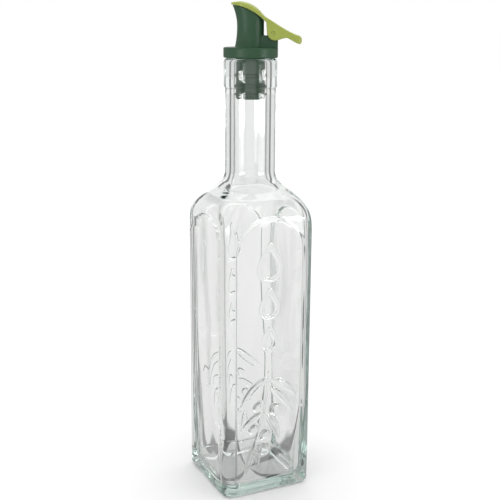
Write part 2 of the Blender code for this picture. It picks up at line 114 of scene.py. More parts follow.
# Olive sprig: leaves as base, tip, width and sideways bow, olives as middle, radius and length.
# FLANK is the width of a ridge's sloping side.
STEM = ((0.0000, 0.0780), (-0.0010, 0.0640), (-0.0035, 0.0500), (-0.0085, 0.0360), (-0.0100, 0.0290))
STEM_WIDTH = 0.0016
STEM_HEIGHT = 0.0004
LEAVES = (
    ((-0.0005, 0.0755), (-0.0200, 0.0565), 0.0054, -0.0022),
    ((0.0005, 0.0735), (0.0188, 0.0600), 0.0050, 0.0024),
    ((0.0000, 0.0690), (0.0167, 0.0485), 0.0044, 0.0020),
    ((-0.0030, 0.0540), (-0.0200, 0.0420), 0.0038, -0.0012),
    ((-0.0030, 0.0520), (0.0070, 0.0335), 0.0042, 0.0022),
    ((-0.0098, 0.0325), (-0.0157, 0.0132), 0.0030, -0.0005),
    ((-0.0092, 0.0310), (-0.0062, 0.0168), 0.0034, -0.0006),
)
OLIVES = (
    ((0.0044, 0.0538), 0.0040, 1.0),
    ((-0.0104, 0.0432), 0.0028, 1.35),
    ((-0.0024, 0.0378), 0.0038, 1.0),
    ((-0.0030, 0.0288), 0.0038, 1.0),
    ((-0.0072, 0.0575), 0.0028, 1.5),
)
OLIVE_TILT = math.radians(35)
OLIVE_HEIGHT = 0.00098
LEAF_HEIGHT = 0.00098
LEAF_VEIN = 0.0006
VEIN_WIDTH = 0.0004
FLANK = 0.0009

# A leaf's least share of its width, at its ends, and the power that moves its swell to the base
LEAF_END = 0.10
LEAF_LEAN = 0.85

# Fineness of the glass: columns on a face, and heights of the rows
RELIEF_COLUMNS = 90
PLAIN_COLUMNS = 14
CORNER_STEPS = 7
FOOT_ROW = 0.001
RELIEF_ROW = 0.00058
PLAIN_ROW = 0.0015
ARCH_ROW = 0.0008
NECK_ROW = 0.004
MOUTH_ROW = 0.006
INNER_NECK_ROW = 0.006
INNER_ROW = 0.007

# Camera of the photograph, with its focal length in pixels of the picture
PICTURE_WIDTH = 500
FOCAL_LENGTH = 923.21
CAMERA_PLACE = Vector((-0.2360, -0.4944, 0.2850))
CAMERA_AZIMUTH = 0.44592
CAMERA_PITCH = 0.24496
CAMERA_ROLL = 0.0059
SENSOR = 36.0


def spaced(start, end, step):
    """Values from start up to, and without, end, about a step apart."""
    count = max(1, round(abs(end - start) / step))
    return [start + (end - start) * i / count for i in range(count)]


def arc(centre, radius, start, end, steps):
    """Points (x, z) on a circle, from one angle in degrees to another."""
    angles = [math.radians(start + (end - start) * i / steps) for i in range(steps + 1)]
    return [(centre[0] + radius * math.cos(a), centre[1] + radius * math.sin(a)) for a in angles]


def smoothstep(t):
    t = np.clip(t, 0.0, 1.0)
    return t * t * (3 - 2 * t)


def mesh_object(name, points, faces):
    mesh = bpy.data.meshes.new(name)
    mesh.from_pydata([tuple(p) for p in points], [], faces)
    mesh.validate()
    obj = bpy.data.objects.new(name, mesh)
    bpy.context.scene.collection.objects.link(obj)
    return obj


def loft(name, rings):
    """A closed solid skinned through rings of equal point count, with a flat cap at each end."""
    count = len(rings[0])
    points = [p for ring in rings for p in ring]
    faces = [list(range(count))[::-1]]
    for level in range(len(rings) - 1):
        low, high = level * count, (level + 1) * count
        for i in range(count):
            j = (i + 1) % count
            faces.append((low + i, low + j, high + j, high + i))
    faces.append(list(range(len(points) - count, len(points))))
    obj = mesh_object(name, points, faces)
    shape = bmesh.new()
    shape.from_mesh(obj.data)
    bmesh.ops.recalc_face_normals(shape, faces=shape.faces)
    shape.to_mesh(obj.data)
    shape.free()
    return obj


def apply_modifiers(obj):
    bpy.context.view_layer.update()
    graph = bpy.context.evaluated_depsgraph_get()
    mesh = bpy.data.meshes.new_from_object(obj.evaluated_get(graph))
    obj.modifiers.clear()
    obj.data = mesh


# Glass bottle


def column_angles():
    """Angles round the bottle: close together on the two faces with relief, and at the corners."""
    flat = math.atan(1 - BODY_ROUNDNESS)
    angles = []
    for face in range(4):
        middle = face * math.pi / 2
        columns = RELIEF_COLUMNS if face % 2 else PLAIN_COLUMNS
        reach = math.tan(flat)
        angles += [middle + math.atan(-reach + 2 * reach * i / columns) for i in range(columns)]
        corner = math.pi / 2 - 2 * flat
        angles += [middle + flat + corner * i / CORNER_STEPS for i in range(CORNER_STEPS)]
    return np.array(angles)


def square_radius(angles, half_width, roundness):
    """Distance from the middle to a square with round corners. Roundness 1 makes it a circle."""
    corner = half_width * roundness
    flat = half_width - corner
    along, across = np.abs(np.cos(angles)), np.abs(np.sin(angles))
    long, short = np.maximum(along, across), np.minimum(along, across)
    reach = flat * (along + across)
    rounded = reach + np.sqrt(np.maximum(reach * reach - 2 * flat * flat + corner * corner, 0.0))
    return np.where(half_width * short / long <= flat, half_width / long, rounded)


def neck_root_height():
    """Where the straight slope between shoulder and neck brings the root arc to an upright end."""
    turn = math.radians(SHOULDER_TURN)
    slope_x = HALF_WIDTH - SHOULDER_RADIUS * (1 - math.cos(turn))
    slope_z = SHOULDER_START + SHOULDER_RADIUS * math.sin(turn)
    root_x = NECK_RADIUS + NECK_ROOT_RADIUS * (1 - math.cos(turn))
    run = (slope_x - root_x) / math.sin(turn)
    return slope_z + run * math.cos(turn) + NECK_ROOT_RADIUS * math.sin(turn)


def roundness_at(height, low):
    """The corners open out with the square of the height, into the round neck."""
    end = neck_root_height() - NECK_ROOT_RADIUS / 2
    rise = min(1.0, max(0.0, (height - CORNER_START) / (end - CORNER_START)))
    return low + (1 - low) * rise * rise


def body_rows():
    """Heights of the rows up the body: close together over the ornament and the arch."""
    sprig_top = STEM[0][1]
    drops_foot = DROPS[-1][0]
    drops_top = DROPS[0][0] + DROPS[0][2]
    stages = (
        (HEEL_RADIUS + FOOT_ROW, FOOT_ROW),
        (PANEL_FOOT - FOOT_ROW, RELIEF_ROW),
        (sprig_top + FOOT_ROW, PLAIN_ROW),
        (drops_foot - PLAIN_ROW, RELIEF_ROW),
        (drops_top + PLAIN_ROW, ARCH_ROW),
    )
    ends = [start for start, _ in stages[1:]] + [SHOULDER_START]
    rows = []
    for (start, step), end in zip(stages, ends):
        rows += spaced(start, end, step)
    return rows


def outer_profile():
    """Half width, height and roundness, from the middle of the underside up to the lip."""
    underside = [(half_width, PUSH_UP * share) for half_width, share in UNDERSIDE]
    heel = arc((HALF_WIDTH - HEEL_RADIUS, HEEL_RADIUS), HEEL_RADIUS, -90, 0, steps=8)
    body = [(HALF_WIDTH, z) for z in body_rows()]
    middle = (HALF_WIDTH - SHOULDER_RADIUS, SHOULDER_START)
    shoulder = arc(middle, SHOULDER_RADIUS, 0, SHOULDER_TURN, steps=18)
    middle = (NECK_RADIUS + NECK_ROOT_RADIUS, neck_root_height())
    root = arc(middle, NECK_ROOT_RADIUS, 180 + SHOULDER_TURN, 180, steps=14)
    neck = [(NECK_RADIUS, z) for z in spaced(neck_root_height(), MOUTH_BAND_FOOT, NECK_ROW)[1:]]
    band = [
        (NECK_RADIUS, MOUTH_BAND_FOOT - BAND_STEP / 2),
        (NECK_RADIUS + BAND_STEP / 6, MOUTH_BAND_FOOT - BAND_STEP / 8),
        (NECK_RADIUS + BAND_STEP / 3, MOUTH_BAND_FOOT),
        (MOUTH_RADIUS - BAND_STEP / 3, MOUTH_BAND_FOOT),
        (MOUTH_RADIUS - BAND_STEP / 6, MOUTH_BAND_FOOT + BAND_STEP / 8),
        (MOUTH_RADIUS, MOUTH_BAND_FOOT + BAND_STEP / 2),
        (MOUTH_RADIUS, MOUTH_BAND_FOOT + MOUTH_ROW),
    ]
    lip = arc((MOUTH_RADIUS - LIP_RADIUS, GLASS_HEIGHT - LIP_RADIUS), LIP_RADIUS, 0, 90, steps=8)
    path = underside + heel + body + shoulder + root + neck + band + lip
    return [(w, z, roundness_at(z, BODY_ROUNDNESS)) for w, z in path]


def inner_profile():
    """Half width, height and roundness, from the mouth down to the middle of the floor."""
    middle = (BORE_RADIUS + BORE_ROUNDING, GLASS_HEIGHT - BORE_ROUNDING)
    mouth = arc(middle, BORE_ROUNDING, 90, 180, steps=6)
    neck = [(BORE_RADIUS, z) for z in spaced(MOUTH_BAND_FOOT, neck_root_height(), INNER_NECK_ROW)]
    middle = (NECK_RADIUS + NECK_ROOT_RADIUS, neck_root_height())
    root = arc(middle, NECK_ROOT_RADIUS + NECK_WALL, 180, 180 + SHOULDER_TURN, steps=10)
    middle = (HALF_WIDTH - SHOULDER_RADIUS, SHOULDER_START)
    shoulder = arc(middle, SHOULDER_RADIUS - WALL, SHOULDER_TURN, 0, steps=10)
    half_width = HALF_WIDTH - WALL
    heel_top = FLOOR_HEIGHT + INNER_HEEL_RADIUS
    body = [(half_width, z) for z in spaced(SHOULDER_START, heel_top, INNER_ROW)[1:]]
    heel = arc((half_width - INNER_HEEL_RADIUS, heel_top), INNER_HEEL_RADIUS, 0, -90, steps=9)
    top = FLOOR_HEIGHT + FLOOR_RISE
    bottom = [(half, top - FLOOR_RISE * share) for half, share in INNER_FLOOR]
    path = mouth + neck + root + shoulder + body + heel + bottom
    rings = []
    for w, z in path:
        settled = float(smoothstep((SETTLED_TOP - z) / (SETTLED_TOP - heel_top)))
        low = INNER_ROUNDNESS + (SETTLED_ROUNDNESS - INNER_ROUNDNESS) * settled
        rings.append((w, z, roundness_at(z, low)))
    return rings


def panel_depth_inside(x, z):
    """How far inside the arched outline a point lies, negative outside it."""
    side = PANEL_HALF_WIDTH - np.abs(x)
    above = np.maximum(z - PANEL_SPRING, 0.0)
    ellipse = np.sqrt((x / PANEL_HALF_WIDTH) ** 2 + (above / PANEL_RISE) ** 2) + 1e-9
    slope = np.sqrt((x / PANEL_HALF_WIDTH**2) ** 2 + (above / PANEL_RISE**2) ** 2) / ellipse + 1e-6
    arch = np.where(z > PANEL_SPRING, (1 - ellipse) / slope, side)
    foot = z - PANEL_FOOT
    near = np.minimum(side, foot)
    corner = PANEL_CORNER - np.hypot(PANEL_CORNER - side, PANEL_CORNER - foot)
    in_corner = (side < PANEL_CORNER) & (foot < PANEL_CORNER)
    low = np.where(in_corner, np.where(near < 0, np.minimum(corner, near), corner), near)
    return np.minimum(arch, low)


def along_line(x, z, line):
    """Distance to a line of points, and how far along it, from 0 to 1, the nearest place is."""
    best = np.full(x.shape, np.inf)
    share = np.zeros(x.shape)
    pieces = len(line) - 1
    for i in range(pieces):
        (x0, z0), (x1, z1) = line[i], line[i + 1]
        run_x, run_z = x1 - x0, z1 - z0
        square = run_x * run_x + run_z * run_z
        t = np.clip(((x - x0) * run_x + (z - z0) * run_z) / square, 0, 1)
        distance = np.hypot(x - x0 - t * run_x, z - z0 - t * run_z)
        nearer = distance < best
        best = np.where(nearer, distance, best)
        share = np.where(nearer, (i + t) / pieces, share)
    return best, share


def drop_line(foot, width, height, steps=48):
    """The outline of a falling drop: round below, drawn out to a point above."""
    turns = [math.tau * i / steps for i in range(steps + 1)]
    across = [math.sin(a) * math.sin(a / 2) ** DROP_TAPER for a in turns]
    scale = width / 2 / max(across)
    return [(x * scale, foot + height * (1 + math.cos(a)) / 2) for x, a in zip(across, turns)]


def leaf_line(base, tip, bow, steps=14):
    start, end = Vector(base), Vector(tip)
    across = Vector((end.y - start.y, start.x - end.x)).normalized()
    shares = [i / steps for i in range(steps + 1)]
    return [tuple(start.lerp(end, t) - across * bow * 4 * t * (1 - t)) for t in shares]


def flank(across, half_width):
    """Height of a ridge from 0 at its edge to 1 where its even flank ends."""
    return np.clip((1 - across) * half_width / FLANK, 0, 1)


def relief_height(x, z):
    """Height of the ornament over the panel's floor: drops, stem, veined leaves and olives."""
    height = np.zeros(x.shape)
    for drop in DROPS:
        distance, _ = along_line(x, z, drop_line(*drop))
        across = np.clip(distance / (DROP_LINE / 2), 0, 1)
        height = np.maximum(height, LINE_HEIGHT * flank(across, DROP_LINE / 2))
    distance, _ = along_line(x, z, STEM)
    across = np.clip(distance / (STEM_WIDTH / 2), 0, 1)
    height = np.maximum(height, STEM_HEIGHT * np.sqrt(1 - across**2))
    for base, tip, width, bow in LEAVES:
        distance, share = along_line(x, z, leaf_line(base, tip, bow))
        swell = np.maximum(LEAF_END, np.sin(math.pi * share**LEAF_LEAN))
        across = np.clip(distance / (width / 2 * swell), 0, 1)
        blade = LEAF_HEIGHT * flank(across, width / 2 * swell)
        vein = LEAF_VEIN * np.exp(-((distance / VEIN_WIDTH) ** 2)) * swell
        height = np.maximum(height, blade - vein)
    for (mid_x, mid_z), radius, length in OLIVES:
        u = (x - mid_x) * math.cos(OLIVE_TILT) + (z - mid_z) * math.sin(OLIVE_TILT)
        v = (z - mid_z) * math.cos(OLIVE_TILT) - (x - mid_x) * math.sin(OLIVE_TILT)
        across = np.clip(np.hypot(u / length, v) / radius, 0, 1)
        height = np.maximum(height, OLIVE_HEIGHT * flank(across, radius))
    return height


def press_panels(rings):
    """Sinks the four arched panels into the outer surface and raises the ornament on two."""
    for face in range(4):
        normal = np.array([math.cos(face * math.pi / 2), math.sin(face * math.pi / 2)])
        right = np.array([-normal[1], normal[0]])
        out = rings[..., :2] @ normal
        x, z = rings[..., :2] @ right, rings[..., 2]
        facing = (out > np.abs(x)) & (z > PANEL_FOOT / 2) & (z < PANEL_SPRING + PANEL_RISE + PANEL_EDGE)
        inside = panel_depth_inside(x, z)
        sunk = smoothstep(inside / PANEL_EDGE + 0.5)
        push = -PANEL_DEPTH * sunk
        if face % 2:
            push = push + relief_height(x, z) * sunk
        push = np.where(facing, push, 0.0)
        rings[..., :2] += push[..., None] * normal
    return rings


def wavy_walls(rings):
    """The blown inner wall isn't quite even: slow swells that bend what shows through."""
    angle = np.arctan2(rings[..., 1], rings[..., 0])
    z = rings[..., 2]
    waves = [share * np.sin(turns * angle + up * z + start) for share, turns, up, start in WALL_SWELLS]
    beat, beat_start = SWELL_BEAT
    swell = waves[0] * np.sin(beat * z + beat_start) + waves[1] + waves[2]
    body = smoothstep((WAVY_TOP - z) / WAVY_FADE) * smoothstep((z - WAVY_FOOT) / WAVY_FADE)
    size = np.linalg.norm(rings[..., :2], axis=-1, keepdims=True)
    rings[..., :2] += rings[..., :2] / size * (WALL_WAVE * swell * body)[..., None]
    return rings


def ring_points(profile, angles):
    rings = []
    for half_width, height, roundness in profile:
        radius = square_radius(angles, half_width, roundness)
        flat = np.full(angles.shape, height)
        rings.append(np.stack([radius * np.cos(angles), radius * np.sin(angles), flat], axis=-1))
    return np.array(rings)


def glass_bottle(look):
    angles = column_angles()
    outer = press_panels(ring_points(outer_profile(), angles))
    inner = wavy_walls(ring_points(inner_profile(), angles))
    bottle = loft("bottle_glass", np.concatenate([outer, inner]))
    bottle.data.shade_smooth()
    bottle.data.materials.append(look)
    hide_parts("glass_bottle")
    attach(bottle, "bottle")


# Materials

GLASS_COLOUR = (0.997, 1.0, 0.999, 1.0)
GLASS_TINT = (0.42, 0.57, 0.52, 1.0)
GLASS_TINT_DENSITY = 20.0
GLASS_IOR = 1.51
GLASS_ROUGHNESS = (0.0, 0.02)
GLASS_RIPPLES = 70.0
GLASS_RIPPLE_STRENGTH = 0.25
GLASS_RIPPLE_DEPTH = 0.0004

# Plastics: two close colours, the range of roughness, and the share of light that goes inside
LIME_COLOURS = ((0.34, 0.40, 0.068, 1.0), (0.385, 0.445, 0.092, 1.0))
LIME_ROUGHNESS = (0.24, 0.34)
LIME_SCATTER = 0.25
GREEN_COLOURS = ((0.020, 0.070, 0.031, 1.0), (0.026, 0.082, 0.038, 1.0))
GREEN_ROUGHNESS = (0.38, 0.48)
GREEN_SCATTER = 0.0
SCATTER_REACH = (1.0, 1.0, 0.4)
SCATTER_DEPTH = 0.0008
PLASTIC_SPECULAR = 0.3
PLASTIC_CLOUDS = 220.0
PLASTIC_GRAIN = 2600.0
GRAIN_STRENGTH = 0.12
GRAIN_DEPTH = 0.00003


def adder(tree):
    """A function that adds a node of a kind to the tree, with its inputs and settings."""

    def add(kind, values=(), **settings):
        node = tree.nodes.new("ShaderNode" + kind)
        for key, value in settings.items():
            setattr(node, key, value)
        for key, value in dict(values).items():
            node.inputs[key].default_value = value
        return node

    return add


def node_maker(name):
    made = bpy.data.materials.new(name)
    made.use_nodes = True
    tree = made.node_tree
    return made, tree.nodes["Principled BSDF"], tree.nodes["Material Output"], adder(tree), tree.links


def surface_noise(add, links, scale, detail=3.0):
    """A noise in the object's own coordinates, in metres."""
    place = add("TexCoord")
    noise = add("TexNoise", {"Scale": scale, "Detail": detail})
    links.new(place.outputs["Object"], noise.inputs["Vector"])
    return noise.outputs["Fac"]


def spread(add, links, source, values):
    """Maps the middle of a noise's range onto a range of values."""
    low, high = values
    made = add("MapRange", {"From Min": 0.3, "From Max": 0.7, "To Min": low, "To Max": high})
    links.new(source, made.inputs["Value"])
    return made.outputs["Result"]


def blend_colours(add, links, source, first, second):
    made = add("Mix", data_type="RGBA")
    made.inputs["A"].default_value = first
    made.inputs["B"].default_value = second
    links.new(source, made.inputs["Factor"])
    return made.outputs["Result"]


def bumps(add, links, source, strength, distance):
    made = add("Bump", {"Strength": strength, "Distance": distance})
    links.new(source, made.inputs["Height"])
    return made.outputs["Normal"]


def clear_glass():
    made, shader, output, add, links = node_maker("clear_glass")
    shader.inputs["Base Color"].default_value = GLASS_COLOUR
    shader.inputs["IOR"].default_value = GLASS_IOR
    shader.inputs["Transmission Weight"].default_value = 1.0
    slow = surface_noise(add, links, GLASS_RIPPLES, detail=1.0)
    links.new(spread(add, links, slow, GLASS_ROUGHNESS), shader.inputs["Roughness"])
    ripples = bumps(add, links, slow, GLASS_RIPPLE_STRENGTH, GLASS_RIPPLE_DEPTH)
    links.new(ripples, shader.inputs["Normal"])
    tint = add("VolumeAbsorption", {"Color": GLASS_TINT, "Density": GLASS_TINT_DENSITY})
    links.new(tint.outputs["Volume"], output.inputs["Volume"])
    return made


def moulded_plastic(name, colours, roughness, scatter):
    made, shader, _, add, links = node_maker(name)
    cloud = surface_noise(add, links, PLASTIC_CLOUDS)
    links.new(blend_colours(add, links, cloud, *colours), shader.inputs["Base Color"])
    grain = surface_noise(add, links, PLASTIC_GRAIN, detail=2.0)
    links.new(spread(add, links, cloud, roughness), shader.inputs["Roughness"])
    links.new(bumps(add, links, grain, GRAIN_STRENGTH, GRAIN_DEPTH), shader.inputs["Normal"])
    shader.inputs["Specular IOR Level"].default_value = PLASTIC_SPECULAR
    shader.inputs["Subsurface Weight"].default_value = scatter
    shader.inputs["Subsurface Radius"].default_value = SCATTER_REACH
    shader.inputs["Subsurface Scale"].default_value = SCATTER_DEPTH
    return made


# Pourer, in its own frame. Solids that are joined or cut run OVERLAP into one another.

POURER_TURN = -25.5
COLLAR_RADIUS = 0.0159
COLLAR_FOOT = 0.2633
COLLAR_TOP = 0.2693
COLLAR_EDGE = 0.0005
PLUG_RADIUS = 0.0085
PLUG_FOOT = 0.2398
PLUG_CHAMFER = 0.0007
CHANNEL_RADIUS = 0.0049
CHANNEL_PAST_COLLAR = 0.0015
FIN_RADIUS = 0.0097
FIN_HEIGHTS = (0.2429, 0.2481, 0.2533)
FIN_ROOT_HALF = 0.0008
FIN_RIM_HALF = 0.0004
OVERLAP = 0.001
SPOUT_BACK = 0.00765
SPOUT_WAIST = 0.2809
SPOUT_WAIST_FRONT = -0.0079
SPOUT_FOOT_FRONT = -0.0092
BEAK_FRONT = -0.0104
BEAK_HEIGHT = 0.2925
SPOUT_FOOT_DEPTH = 0.0083
SPOUT_WAIST_DEPTH = 0.0070
BEAK_DEPTH = 0.0073
SPOUT_TOP = BEAK_HEIGHT + 0.003
SPOUT_WALL = 0.0015
SPOUT_ROW = 0.0007
CHANNEL_FLARE = 0.2760
FLARE_ROW = 0.001
SEAT_CENTRE = (-0.01495, 0.2602)
SEAT_RADIUS = 0.0329
SEAT_RAISE = 0.0002
SEAT_PAST_BACK = 0.0007
SEAT_CUTTER_MARGIN = 0.005
SEAT_CUTTER_REACH = 0.020
LID_GAP = 0.0003
LID_TIP = -0.0114
LID_BLUNT = 0.0001
LID_MIDDLE = -0.002
LID_HALF_WIDTH = 0.0079
LID_BACK = 0.0090
LID_RIM = 0.0017
LID_EDGE = 0.0006

# Lid and lever from the side, as place along X and height, and from above, as X and half width
LID_TOP = (
    (-0.0114, 0.2944), (-0.0062, 0.2950), (-0.0023, 0.2944), (0.0013, 0.2930), (0.0043, 0.2909),
    (0.0066, 0.2885), (0.0084, 0.2867), (0.0127, 0.2840), (0.0177, 0.2809), (0.0227, 0.2782),
    (0.0261, 0.2767), (0.0284, 0.2759), (0.0294, 0.2748),
)
LEVER_FOOT = (
    (0.0095, 0.2768), (0.0102, 0.2752), (0.0115, 0.2740), (0.0135, 0.2733), (0.0162, 0.2736),
    (0.0188, 0.2744), (0.0211, 0.2746), (0.0228, 0.2737), (0.0262, 0.2719), (0.0283, 0.2713),
    (0.0294, 0.2724),
)
LEVER_WIDTHS = (
    (0.0090, 0.0068), (0.0127, 0.0064), (0.0211, 0.0054), (0.0262, 0.0062), (0.0284, 0.0058),
    (0.0294, 0.0040),
)
PIN = (0.01275, 0.2773)
PIN_HOLE_RADIUS = 0.0011
PIN_HOLE_REACH = 0.012
PIN_HOLE_STEPS = 24
LUG_RADIUS = 0.0030
LUG_BACK = COLLAR_RADIUS - 0.0002
LUG_BACK_TOP = PIN[1] - 0.0020
LUG_HALF_WIDTH = 0.0046
LUG_SHELF = 0.2760
SLOT_HALF_WIDTH = 0.0049
SLOT_OUTLINE = (
    (0.0080, 0.2690), (0.0220, 0.2690), (0.0220, 0.2765), (0.0177, 0.2787), (0.0127, 0.2818),
    (0.0080, 0.2830),
)
ROUND_STEPS = 96
TIP_STEPS = 16
LID_STEPS = 20
LEVER_STEPS = 48
POURER_VOXEL = 0.0003
LID_VOXEL = 0.00017


def combine(target, operation, others):
    """Joins the other closed shapes to the target, or cuts them from it, and removes them."""
    for other in others:
        boolean = target.modifiers.new(operation, "BOOLEAN")
        boolean.operation = operation
        boolean.object = other
    apply_modifiers(target)
    for other in others:
        bpy.data.objects.remove(other)


def round_off(obj, voxel, passes):
    """Remeshes a moulding evenly and smooths it, which leaves every edge a little round."""
    remesh = obj.modifiers.new("even", "REMESH")
    remesh.mode = "VOXEL"
    remesh.voxel_size = voxel
    smooth = obj.modifiers.new("soften", "SMOOTH")
    smooth.factor = 0.5
    smooth.iterations = passes
    apply_modifiers(obj)
    obj.data.shade_smooth()


def circle(radius, height, steps=ROUND_STEPS):
    turns = [math.tau * i / steps for i in range(steps)]
    return [Vector((radius * math.cos(a), radius * math.sin(a), height)) for a in turns]


def prism(name, outline, half_depth):
    """An (x, z) outline extruded along Y to both sides of the XZ plane."""
    near = [Vector((x, -half_depth, z)) for x, z in outline]
    far = [Vector((x, half_depth, z)) for x, z in outline]
    return loft(name, [near, far])


def plug_outside():
    """Radius and height down the outside of the plug, from the collar, with its sealing fins."""
    path = []
    for height in reversed(FIN_HEIGHTS):
        path += [
            (PLUG_RADIUS, height + FIN_ROOT_HALF),
            (FIN_RADIUS, height + FIN_RIM_HALF),
            (FIN_RADIUS, height - FIN_RIM_HALF),
            (PLUG_RADIUS, height - FIN_ROOT_HALF),
        ]
    path += [(PLUG_RADIUS, PLUG_FOOT + PLUG_CHAMFER), (PLUG_RADIUS - PLUG_CHAMFER, PLUG_FOOT)]
    return path


def between_waist(height, foot, waist, beak):
    """A spout size at a height: two parabolas that meet at the waist."""
    above = height > SPOUT_WAIST
    end = beak if above else foot
    reach = (BEAK_HEIGHT - SPOUT_WAIST) if above else (COLLAR_TOP - SPOUT_WAIST)
    share = (height - SPOUT_WAIST) / reach
    return waist + (end - waist) * share * share


def spout_ring(height, inset=0.0, steps=ROUND_STEPS):
    front = between_waist(height, SPOUT_FOOT_FRONT, SPOUT_WAIST_FRONT, BEAK_FRONT) + inset
    depth = between_waist(height, SPOUT_FOOT_DEPTH, SPOUT_WAIST_DEPTH, BEAK_DEPTH) - inset
    back = SPOUT_BACK - inset
    middle, length = (front + back) / 2, (back - front) / 2
    turns = [math.tau * i / steps for i in range(steps)]
    return [Vector((middle + length * math.cos(a), depth * math.sin(a), height)) for a in turns]


def seat_angle(x):
    """Angle in degrees, round the seat's cylinder, of the line on it that lies over x."""
    return math.degrees(math.acos((x - SEAT_CENTRE[0]) / SEAT_RADIUS))


def seat_cutter():
    """All that lies over the spout above the cylinder on which the lid rests."""
    front, back = BEAK_FRONT - SEAT_CUTTER_MARGIN, SPOUT_BACK + SEAT_PAST_BACK
    ceiling = BEAK_HEIGHT + SEAT_CUTTER_REACH
    curve = arc(SEAT_CENTRE, SEAT_RADIUS + SEAT_RAISE, seat_angle(front), seat_angle(back), steps=48)
    return prism("above_seat", curve + [(back, ceiling), (front, ceiling)], SEAT_CUTTER_REACH)


def lug_outline():
    return [
        (SPOUT_BACK - OVERLAP, COLLAR_TOP - OVERLAP),
        (COLLAR_RADIUS - OVERLAP, COLLAR_TOP - OVERLAP),
        (LUG_BACK, COLLAR_TOP - OVERLAP / 2),
        (LUG_BACK, LUG_BACK_TOP),
        *arc(PIN, LUG_RADIUS, 0, 180, steps=24),
        (PIN[0] - LUG_RADIUS, LUG_SHELF),
        (SPOUT_BACK - OVERLAP, LUG_SHELF),
    ]


def pin_hole():
    last = 360 - 360 / PIN_HOLE_STEPS
    outline = arc(PIN, PIN_HOLE_RADIUS, 0, last, steps=PIN_HOLE_STEPS - 1)
    return prism("pin_hole", outline, PIN_HOLE_REACH)


def place_pourer(obj, look, node, body):
    """Turns a piece from the pourer's frame into the bottle's, and gives it its look and body."""
    obj.data.transform(Matrix.Rotation(math.radians(POURER_TURN), 4, "Z"))
    obj.data.materials.clear()
    obj.data.materials.append(look)
    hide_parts(node)
    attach(obj, body)


def pourer(look):
    collar = [
        (COLLAR_RADIUS - COLLAR_EDGE, COLLAR_TOP),
        (COLLAR_RADIUS, COLLAR_TOP - COLLAR_EDGE),
        (COLLAR_RADIUS, COLLAR_FOOT + COLLAR_EDGE),
        (COLLAR_RADIUS - COLLAR_EDGE, COLLAR_FOOT),
        (PLUG_RADIUS, COLLAR_FOOT),
    ]
    body = loft("pourer_moulding", [circle(radius, z) for radius, z in collar + plug_outside()])
    rows = [*spaced(COLLAR_TOP - OVERLAP, SPOUT_TOP, SPOUT_ROW), SPOUT_TOP]
    shell = loft("shell", [spout_ring(z) for z in rows])
    lug = prism("lug", lug_outline(), LUG_HALF_WIDTH)
    combine(body, "UNION", [shell, lug])
    ceiling = SPOUT_TOP + 2 * OVERLAP
    throat = [circle(CHANNEL_RADIUS, z) for z in (PLUG_FOOT - OVERLAP, COLLAR_TOP + CHANNEL_PAST_COLLAR)]
    flare = [spout_ring(z, SPOUT_WALL) for z in [*spaced(CHANNEL_FLARE, ceiling, FLARE_ROW), ceiling]]
    inside = loft("inside", throat + flare)
    combine(body, "DIFFERENCE", [inside, seat_cutter(), pin_hole()])
    round_off(body, POURER_VOXEL, passes=3)
    place_pourer(body, look, "pourer", "bottle")


def smooth_curve(points, x):
    """Height at x of the smooth curve through the points: cubic pieces with shared slopes."""
    count = len(points)
    slopes = []
    for i in range(count):
        low, high = points[max(i - 1, 0)], points[min(i + 1, count - 1)]
        slopes.append((high[1] - low[1]) / (high[0] - low[0]))
    piece = 0
    while piece < count - 2 and x > points[piece + 1][0]:
        piece += 1
    (x0, z0), (x1, z1) = points[piece], points[piece + 1]
    run = x1 - x0
    t = min(1.0, max(0.0, (x - x0) / run))
    start = z0 * (1 + 2 * t) * (1 - t) ** 2 + slopes[piece] * run * t * (1 - t) ** 2
    return start + z1 * t * t * (3 - 2 * t) - slopes[piece + 1] * run * t * t * (1 - t)


def lid_underside(x):
    """The lid rests on the spout's cylinder, and the lever hangs lower behind it."""
    if x > LID_BACK:
        return smooth_curve(LEVER_FOOT, x)
    reach = SEAT_RADIUS + LID_GAP
    return SEAT_CENTRE[1] + math.sqrt(reach * reach - (x - SEAT_CENTRE[0]) ** 2)


def lid_half_width(x):
    """Half width in plan: an elliptical tip over the beak, and the lever's waist and thumb end."""
    if x > LID_BACK:
        return smooth_curve(LEVER_WIDTHS, x)
    if x < LID_MIDDLE:
        share = (x - LID_MIDDLE) / (LID_TIP - LID_MIDDLE)
        return LID_HALF_WIDTH * math.sqrt(1 - share * share)
    share = (x - LID_MIDDLE) / (LID_BACK - LID_MIDDLE)
    return LID_HALF_WIDTH + (LEVER_WIDTHS[0][1] - LID_HALF_WIDTH) * share * share


def lid_section(x, across=28):
    """The lid cut across at x: a flat underside, upright sides and a crowned top."""
    half = lid_half_width(x)
    low, high = lid_underside(x), smooth_curve(LID_TOP, x)
    crown = max(LID_EDGE, high - low - LID_RIM) if x < LID_BACK else LID_EDGE
    crown = min(crown, (high - low) / 2)
    points = [Vector((x, half, low)), Vector((x, -half, low))]
    for j in range(across + 1):
        turn = math.pi * j / across
        points.append(Vector((x, -half * math.cos(turn), high - crown * (1 - math.sin(turn)))))
    return points


